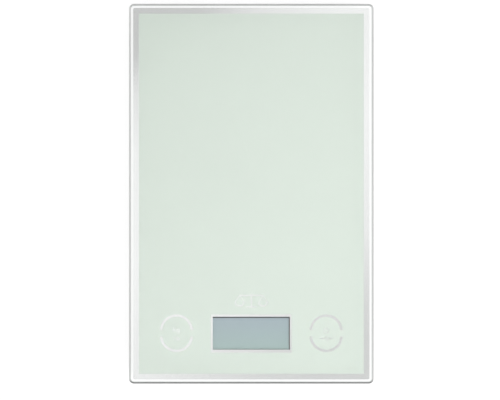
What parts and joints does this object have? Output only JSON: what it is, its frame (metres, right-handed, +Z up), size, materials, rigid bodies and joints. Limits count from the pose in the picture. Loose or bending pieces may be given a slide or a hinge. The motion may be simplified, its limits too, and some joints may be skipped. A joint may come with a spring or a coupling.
{
  "type": "kitchen scale",
  "caption": "Slim digital kitchen scale with a flat printed glass platform, a display window, touch marks, a load cell over each foot and a hinged battery door.",
  "frame": {"origin": "on the table, under the middle of the glass platform", "axes": "+X to the right and +Y away from the user, who stands at the display end (-Y); +Z up through the platform"},
  "size_m": [0.15, 0.233, 0.017],
  "materials": {
    "platform_glass": "polished tempered float glass, 4 mm",
    "pale_green_ink": "pale green screen-printed ink seen through glass",
    "mirror_ink": "mirror-silver screen-printed ink",
    "foam_tape": "white double-sided foam tape",
    "case_plastic": "white ABS with a fine moulded texture",
    "foot_plastic": "light grey ABS",
    "pad_rubber": "matt grey rubber",
    "label_film": "blank silver-grey label film",
    "screw_steel": "zinc-plated steel",
    "cell_steel": "nickel-plated spring steel",
    "gauge_film": "polyimide film",
    "white_sealant": "white silicone sealant",
    "red_insulation": "red PVC insulation",
    "white_insulation": "white PVC insulation",
    "black_insulation": "black PVC insulation",
    "solder": "tin solder",
    "circuit_board": "green solder mask on glass-fibre board",
    "black_plastic": "dark moulded plastic",
    "display_film": "grey-green polarising film over an unlit liquid-crystal panel",
    "display_glass": "thin display glass",
    "reflector_film": "satin reflector film",
    "zebra_rubber": "layered conductive rubber",
    "black_resin": "black epoxy",
    "chip_parts": "ceramic chip components",
    "bright_metal": "bright nickel-plated steel",
    "electrode_film": "amber film with a copper pad"
  },
  "bodies": {
    "root": {"glass_platform": "platform_glass", "colour_print": "pale_green_ink", "border_print": "mirror_ink", "marks_print": "mirror_ink", "bonding_tape": "foam_tape", "upper_carrier": "case_plastic", "lower_shell": "case_plastic", "rating_label": "label_film", "housing_screws": "screw_steel", "load_cell_screws": "screw_steel", "board_screws": "screw_steel", "strain_gauges": "gauge_film", "gauge_sealant": "white_sealant", "sensor_leads_red": "red_insulation", "sensor_leads_white": "white_insulation", "sensor_leads_black": "black_insulation", "battery_wire_positive": "red_insulation", "battery_wire_negative": "black_insulation", "wire_solder_joints": "solder", "main_board": "circuit_board", "lcd_holder": "black_plastic", "lcd_front_film": "display_film", "lcd_front_glass": "display_glass", "lcd_rear_glass": "display_glass", "lcd_reflector": "reflector_film", "zebra_strip_front": "zebra_rubber", "zebra_strip_rear": "zebra_rubber", "chip_blob": "black_resin", "board_resistors": "chip_parts", "board_capacitors": "chip_parts", "crystal": "bright_metal", "touch_electrode_left": "electrode_film", "touch_electrode_right": "electrode_film", "coin_cell": "bright_metal", "battery_contact_positive": "bright_metal", "battery_contact_negative": "bright_metal", "foot_pad_front_left": "pad_rubber", "foot_cap_front_left": "foot_plastic", "foot_screw_front_left": "screw_steel", "load_cell_front_left": "cell_steel", "foot_pad_front_right": "pad_rubber", "foot_cap_front_right": "foot_plastic", "foot_screw_front_right": "screw_steel", "load_cell_front_right": "cell_steel", "foot_pad_rear_left": "pad_rubber", "foot_cap_rear_left": "foot_plastic", "foot_screw_rear_left": "screw_steel", "load_cell_rear_left": "cell_steel", "foot_pad_rear_right": "pad_rubber", "foot_cap_rear_right": "foot_plastic", "foot_screw_rear_right": "screw_steel", "load_cell_rear_right": "cell_steel"},
    "battery_door": {"battery_door": "case_plastic", "battery_door_latch": "case_plastic"}
  },
  "joints": [
    {"name": "battery_door_hinge", "type": "hinge", "parent": "root", "child": "battery_door", "pos_m": [0, 0.0258, 0.0041], "axis": [1, 0, 0], "range_deg": [0, 95], "deforming": ["battery_door_latch"]}
  ]
}
